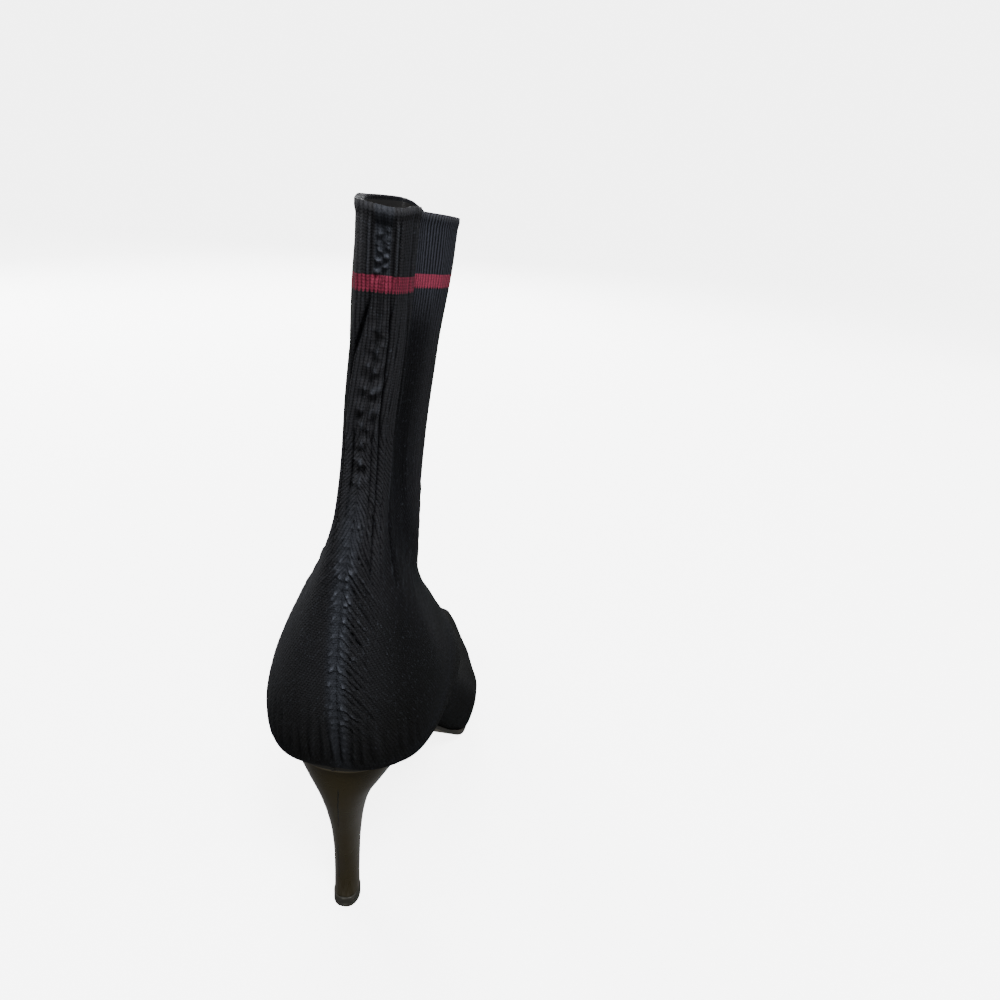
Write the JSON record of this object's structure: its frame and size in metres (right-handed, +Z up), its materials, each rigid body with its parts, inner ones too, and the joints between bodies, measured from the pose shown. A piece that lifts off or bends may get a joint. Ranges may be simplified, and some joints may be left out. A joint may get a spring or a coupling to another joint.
{
  "type": "sock boot",
  "caption": "Left sock boot of black ribbed knit with a crimson stripe below the collar, a raised back seam, a pointed toe, a thin outsole and a glossy stiletto heel.",
  "frame": {"origin": "middle of the heel tip's underside, on the floor", "axes": "+Z up, +Y towards the toe, +X towards the inner side of the left foot"},
  "size_m": [0.0834, 0.2478, 0.3022],
  "materials": {
    "knit": "ribbed black knit with a crimson stripe",
    "lining": "plain dark lining",
    "sole": "smooth taupe",
    "lacquer": "glossy dark taupe lacquer",
    "tip": "scuffed"
  },
  "bodies": {
    "root": {"upper": "knit", "insole": "lining", "outsole": "sole", "heel": "lacquer", "top_piece": "tip"}
  },
  "joints": []
}
